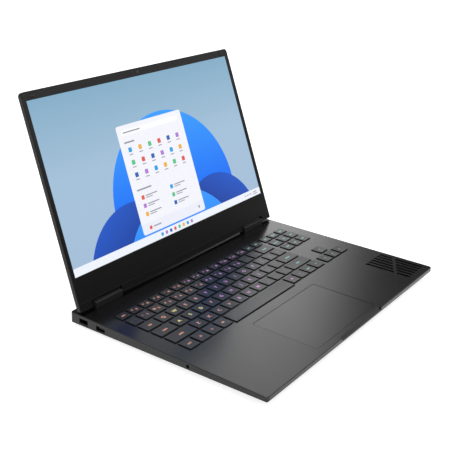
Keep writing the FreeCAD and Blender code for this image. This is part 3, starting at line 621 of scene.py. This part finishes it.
def bar(x, y, width, height):
    return ((x, y), (x + width, y), (x + width, y + height), (x, y + height))


def ring_part(outer, inner, start, end, steps=8):
    angles = [math.radians(start + (end - start) * i / steps) for i in range(steps + 1)]
    rim = [(outer * math.cos(a), outer * math.sin(a)) for a in angles]
    return rim + [(inner * math.cos(a), inner * math.sin(a)) for a in reversed(angles)]


# Sizes and offsets of the marks on a cap, in millimetres.
LEGEND_THICKNESS = 0.03
LEGEND_BASE = 0.11              # under the highest point of the cap
ICON_SCALE = 0.62
LETTER_SIZE = 6.0
WORD_SIZE = 4.2
PAIRED_SIZE = 5.2
SECOND_SIZE = 4.0
PAIRED_OFFSET = (2.6, -0.8)
SECOND_OFFSET = (-3.2, 1.4)
text_cache = {}


def text_mesh(body):
    """Closed mesh of a word, one unit high and one thick, drawn about its own middle."""
    if body not in text_cache:
        curve = bpy.data.curves.new("legend_text", "FONT")
        curve.body = body
        curve.align_x = "CENTER"
        curve.align_y = "CENTER"
        curve.extrude = 0.5
        curve.offset = 0.018
        holder = bpy.data.objects.new("legend_text", curve)
        bpy.context.scene.collection.objects.link(holder)
        bpy.context.view_layer.update()
        mesh = bpy.data.meshes.new_from_object(holder)
        bpy.data.objects.remove(holder)
        bpy.data.curves.remove(curve)
        bm = bmesh.new()
        bm.from_mesh(mesh)
        bmesh.ops.remove_doubles(bm, verts=bm.verts, dist=1e-4)
        bm.to_mesh(mesh)
        bm.free()
        text_cache[body] = mesh
    return text_cache[body]


def add_mark(bm, mark, center, size, material):
    """Icon or word of a size in millimetres, standing on a point."""
    size *= MM
    thickness = LEGEND_THICKNESS * MM
    if mark in ICONS:
        scale = ICON_SCALE * size
        for outline in icon_outlines(mark):
            points = [(center.x + scale * x, center.y + scale * y) for x, y in outline]
            add_prism(bm, points, center.z, center.z + thickness, material=material)
        return
    known = set(bm.faces)
    word = text_mesh(mark).copy()
    place = Matrix.Translation(center + Vector((0, 0, thickness / 2)))
    word.transform(place @ Matrix.Diagonal((size, size, thickness, 1)))
    bm.from_mesh(word)
    bpy.data.meshes.remove(word)
    for face in bm.faces:
        if face not in known:
            face.material_index = material


def make_keys(node):
    body = next(name for name, members in frame["record"]["behaviour"]["bodies"].items()
                if node in members)
    mains, seconds, colors = LEGENDS[node]
    caps = bmesh.new()
    marks = bmesh.new()
    for (low, high), main, second, color in zip(solids_of(node), mains, seconds, colors):
        add_keycap(caps, low, high)
        material = LEGEND_KEYS.index(color)
        middle = (low + high) / 2
        middle.z = high.z - LEGEND_BASE * MM
        single = len(main) == 1
        if second:
            left = middle + MM * Vector((*SECOND_OFFSET, 0))
            right = middle + MM * Vector((*PAIRED_OFFSET, 0))
            add_mark(marks, second, left, SECOND_SIZE, material)
            add_mark(marks, main, right, PAIRED_SIZE if single else WORD_SIZE, material)
        elif main:
            add_mark(marks, main, middle, LETTER_SIZE if single else WORD_SIZE, material)
    cap = make_piece(node + "_caps", caps, body, (key_top, shaded_key_side))
    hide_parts(node)
    if marks.verts:
        make_piece(node + "_legends", marks, body,
                   [legend_materials[key] for key in LEGEND_KEYS])
    else:
        marks.free()


key_top = surface("key_top", (0.037, 0.037, 0.038), 0.30, metal=0.8, grain=1800, bump=0.05,
                  mottle=0.08)
# Painted shade: the caps' sides and lower rolled edge are a much darker copy of the cap plastic.
shaded_key_side = surface("shaded_key_side", (0.002, 0.002, 0.002), 0.5, grain=1500, bump=0.1, specular=0.1)


# ---------------------------------------------------------------- picture on the display
# Lengths in millimetres, from the lower middle of the lit area.
ACTIVE_BOTTOM = 36.86           # above the hinge axis, along the lid
ACTIVE_WIDTH = 356.4
ACTIVE_HEIGHT = 200.5
HALF_ACTIVE = ACTIVE_WIDTH / 2
LAYER = 0.03
LAYER_FILL = 0.9                # part of a layer's thickness that is solid
to_lid = lid.inverted()
glass_face = max((to_lid @ vertex.co).z for vertex in nodes["display_glass"].data.vertices)
screen = lid @ Matrix.Translation((0, ACTIVE_BOTTOM * MM, glass_face))


def add_area(bm, outline, layer, material=0):
    """Thin area of the picture, in one of the layers that stack up from the glass."""
    points = [(x * MM, y * MM) for x, y in outline]
    bottom = (layer - LAYER_FILL) * LAYER * MM
    add_prism(bm, points, bottom, layer * LAYER * MM, material=material)


def make_area_piece(name, bm, *finishes):
    return make_piece(name, bm, "lid", finishes, screen)


def clip_outline(outline, x_range, y_range):
    """Outline cut to a rectangle, one side after another."""
    sides = ((0, x_range[0], 1), (0, x_range[1], -1), (1, y_range[0], 1), (1, y_range[1], -1))
    for axis, limit, sign in sides:
        kept = []
        for a, b in zip(outline, outline[1:] + outline[:1]):
            inside_a = sign * (a[axis] - limit) >= 0
            inside_b = sign * (b[axis] - limit) >= 0
            if inside_a:
                kept.append(a)
            if inside_a != inside_b:
                share = (limit - a[axis]) / (b[axis] - a[axis])
                kept.append((a[0] + share * (b[0] - a[0]), a[1] + share * (b[1] - a[1])))
        outline = kept
    return outline


def disc(x, y, radius, steps=72):
    return [(x + radius * math.cos(2 * math.pi * i / steps),
             y + radius * math.sin(2 * math.pi * i / steps)) for i in range(steps)]


def rectangle(x_range, y_range):
    return [(x_range[0], y_range[0]), (x_range[1], y_range[0]), (x_range[1], y_range[1]),
            (x_range[0], y_range[1])]


def rounded(x_range, y_range, radius):
    return rounded_rectangle((x_range[0], y_range[0]), (x_range[1], y_range[1]), radius)


def tile(x, y, half, radius):
    return rounded((x - half, x + half), (y - half, y + half), radius)


BAR_HEIGHT = 9.5
BACKDROP_LAYER = 1
SKY_STOPS = ((0.0, (0.37, 0.51, 0.68)), (0.5, (0.36, 0.52, 0.68)), (1.0, (0.225, 0.41, 0.56)))
SKY_BOTTOM = 10
BRIGHT_BLUES = ((0.001, 0.045, 0.50), (0.003, 0.17, 0.93), (0.035, 0.34, 1.0))
DARK_BLUES = ((0.0003, 0.005, 0.09), (0.002, 0.026, 0.24), (0.008, 0.09, 0.55))
# Plain round hills of the backdrop, back to front: centre and radius, the angle in degrees
# towards which each hill grows lighter, and its blues.
HILLS = (
    (15, 40, 112, 90, BRIGHT_BLUES), (-72, -28, 84, 120, DARK_BLUES),
    (86, -24, 76, 60, DARK_BLUES), (5, -62, 112, 90, BRIGHT_BLUES),
)


def make_backdrop():
    across = (-HALF_ACTIVE, HALF_ACTIVE)
    bm = bmesh.new()
    add_area(bm, rectangle(across, (0, ACTIVE_HEIGHT)), BACKDROP_LAYER)
    sky = glow_ramp("backdrop_sky", SKY_STOPS, (0, SKY_BOTTOM * MM, 0), (0, ACTIVE_HEIGHT * MM, 0))
    make_area_piece("backdrop", bm, sky)
    for index, (x, y, radius, angle, blues) in enumerate(HILLS):
        bm = bmesh.new()
        outline = clip_outline(disc(x, y, radius), across, (BAR_HEIGHT, ACTIVE_HEIGHT))
        add_area(bm, outline, BACKDROP_LAYER + 1 + index)
        turn = math.radians(angle)
        way = Vector((math.cos(turn), math.sin(turn), 0)) * radius
        center = Vector((x, y, 0))
        blue = glow_ramp("backdrop_blue_%d" % index, tuple(zip((0.0, 0.55, 1.0), blues)),
                         (center - way) * MM, (center + way) * MM)
        make_area_piece("backdrop_disc_%d" % index, bm, blue)


PANEL_X = (-61.5, 56.8)
PANEL_Y = (11.5, 146.5)
PANEL_CORNER = 3
PANEL_LAYER = BACKDROP_LAYER + 1 + len(HILLS)
FOOTER_HEIGHT = 13
FIELD_X = (-55.7, 48.8)
FIELD_Y = (134.0, 140.8)
FIELD_TEXT = ((-52, -22), (136.6, 138.2))
HEADINGS = ((125.2, -36.0), (65.8, -28.0))      # height, and right end of the bar
HEADING_LEFT = -54
TILE_LEFT = -46.95
GRID_TOP, GRID_ROWS, GRID_COLUMNS = 115.75, 3, 6
GRID_STEP = (17.5, 15.65)
LIST_TOP, LIST_ROWS, LIST_COLUMNS = 55.75, 3, 2
LIST_STEP = (53.0, 10.4)
FOOTER_DISCS = ((-47, 2.4), (46, 1.7))          # place across, and radius
FOOTER_TEXT = ((-42, -28), (17.3, 18.9))
ICON_COLORS = ((0.02, 0.35, 0.75), (0.85, 0.45, 0.05), (0.10, 0.55, 0.25), (0.75, 0.10, 0.08),
               (0.02, 0.12, 0.45), (0.45, 0.20, 0.65))
ink = glow("panel_ink", (0.35, 0.36, 0.42), 0.9)
icon_materials = [glow("panel_icon_%d" % i, color, 1.0) for i, color in enumerate(ICON_COLORS)]


def make_panel():
    """Plain menu: a light panel with bars for text and small coloured squares."""
    white = glow("panel_white", (0.90, 0.91, 0.97), 1.0)
    footer = glow("panel_strip", (0.84, 0.86, 0.95), 1.0)
    field = glow("panel_field", (0.98, 0.98, 1.0), 1.0)
    WHITE, FOOTER, FIELD, INK, FIRST_ICON = range(5)
    on_panel = PANEL_LAYER + 1
    on_field = PANEL_LAYER + 2
    bm = bmesh.new()
    add_area(bm, rounded(PANEL_X, PANEL_Y, PANEL_CORNER), PANEL_LAYER, WHITE)
    footer_y = (PANEL_Y[0], PANEL_Y[0] + FOOTER_HEIGHT)
    add_area(bm, rounded(PANEL_X, footer_y, PANEL_CORNER), on_panel, FOOTER)
    add_area(bm, rounded(FIELD_X, FIELD_Y, PANEL_CORNER), on_panel, FIELD)
    add_area(bm, rounded(*FIELD_TEXT, 0.7), on_field, INK)
    for y, right in HEADINGS:
        add_area(bm, rounded((HEADING_LEFT, right), (y - 1, y + 1), 0.9), on_panel, INK)
    for row in range(GRID_ROWS):
        for column in range(GRID_COLUMNS):
            x = TILE_LEFT + GRID_STEP[0] * column
            y = GRID_TOP - GRID_STEP[1] * row
            color = FIRST_ICON + (column + 2 * row) % len(ICON_COLORS)
            add_area(bm, tile(x, y, 2.9, 1), on_panel, color)
            add_area(bm, rounded((x - 3.4, x + 3.4), (y - 6.4, y - 5.2), 0.5), on_panel, INK)
    for row in range(LIST_ROWS):
        for column in range(LIST_COLUMNS):
            x = TILE_LEFT + LIST_STEP[0] * column
            y = LIST_TOP - LIST_STEP[1] * row
            color = FIRST_ICON + (3 * column + 2 * row + 3) % len(ICON_COLORS)
            add_area(bm, tile(x, y, 2.6, 0.8), on_panel, color)
            add_area(bm, rounded((x + 5, x + 26), (y + 0.4, y + 1.8), 0.6), on_panel, INK)
            add_area(bm, rounded((x + 5, x + 17), (y - 2.0, y - 0.9), 0.5), on_panel, INK)
    for (x, radius), color in zip(FOOTER_DISCS, (FIRST_ICON + 3, INK)):
        add_area(bm, disc(x, PANEL_Y[0] + FOOTER_HEIGHT / 2, radius, 24), on_field, color)
    add_area(bm, rounded(*FOOTER_TEXT, 0.7), on_field, INK)
    make_area_piece("menu_panel", bm, white, footer, field, ink, *icon_materials)


BAR_LAYER = PANEL_LAYER + 2
BAR_TILES, BAR_TILE_LEFT, BAR_TILE_STEP = 8, -31.2, 8.1
BAR_MARKS, BAR_MARK_LEFT, BAR_MARK_STEP = 4, 143.0, 4.5
CLOCK_BARS = (((162, 170.5), (5.2, 6.4)), ((161, 170.5), (2.6, 3.8)))


def make_bar():
    """Bar along the bottom of the picture, with plain tiles and marks."""
    white = glow("taskbar_white", (0.86, 0.90, 0.98), 1.0)
    WHITE, INK, FIRST_ICON = range(3)
    bm = bmesh.new()
    add_area(bm, rectangle((-HALF_ACTIVE, HALF_ACTIVE), (0, BAR_HEIGHT)), BAR_LAYER, WHITE)
    for index in range(BAR_TILES):
        x = BAR_TILE_LEFT + BAR_TILE_STEP * index
        color = FIRST_ICON + (index * 5) % len(ICON_COLORS)
        add_area(bm, rounded((x - 2.1, x + 2.1), (2.6, 6.8), 0.8), BAR_LAYER + 1, color)
    for index in range(BAR_MARKS):
        x = BAR_MARK_LEFT + BAR_MARK_STEP * index
        add_area(bm, rounded((x - 1, x + 1), (3.8, 5.8), 0.4), BAR_LAYER + 1, INK)
    for x_range, y_range in CLOCK_BARS:
        add_area(bm, rounded(x_range, y_range, 0.4), BAR_LAYER + 1, INK)
    make_area_piece("taskbar", bm, white, ink, *icon_materials)


# ---------------------------------------------------------------- black strips in the lid's notches, painted shade over the gaps
SHADE_STRIP_X = (117.35, 165.55)
# Section of a strip in the lid's own frame: height up the lid, then distance towards the viewer.
SHADE_STRIP_OUTLINE = ((5.7, 0.9), (5.7, -3.5), (4.4, -3.5), (4.4, -4.0), (7.35, -4.0), (7.35, 0.9))
# Turns a prism so that its height runs along X and its outline lies in the lid's Y and Z.
ALONG_X = Matrix(((0, 0, 1, 0), (1, 0, 0, 0), (0, 1, 0, 0), (0, 0, 0, 1)))


def make_notch_shade_strips():
    """Black lipped strip along the top of each hinge notch, closing the gap over the cover: painted shade, a black
    piece put where the gap shows only shade.
    """
    bm = bmesh.new()
    outline = [(y * MM, z * MM) for y, z in SHADE_STRIP_OUTLINE]
    for low_x, high_x in (SHADE_STRIP_X, (-SHADE_STRIP_X[1], -SHADE_STRIP_X[0])):
        add_prism(bm, outline, low_x * MM, high_x * MM, ALONG_X)
    make_piece("notch_shade_strips", bm, "lid", (shade_black_steel,), lid)


# ---------------------------------------------------------------- put together
paint_light_and_shade()
finish_cad_nodes()
make_sky()
make_stage()
make_camera()
for key_node in LEGENDS:
    make_keys(key_node)
make_backdrop()
make_panel()
make_bar()
make_notch_shade_strips()
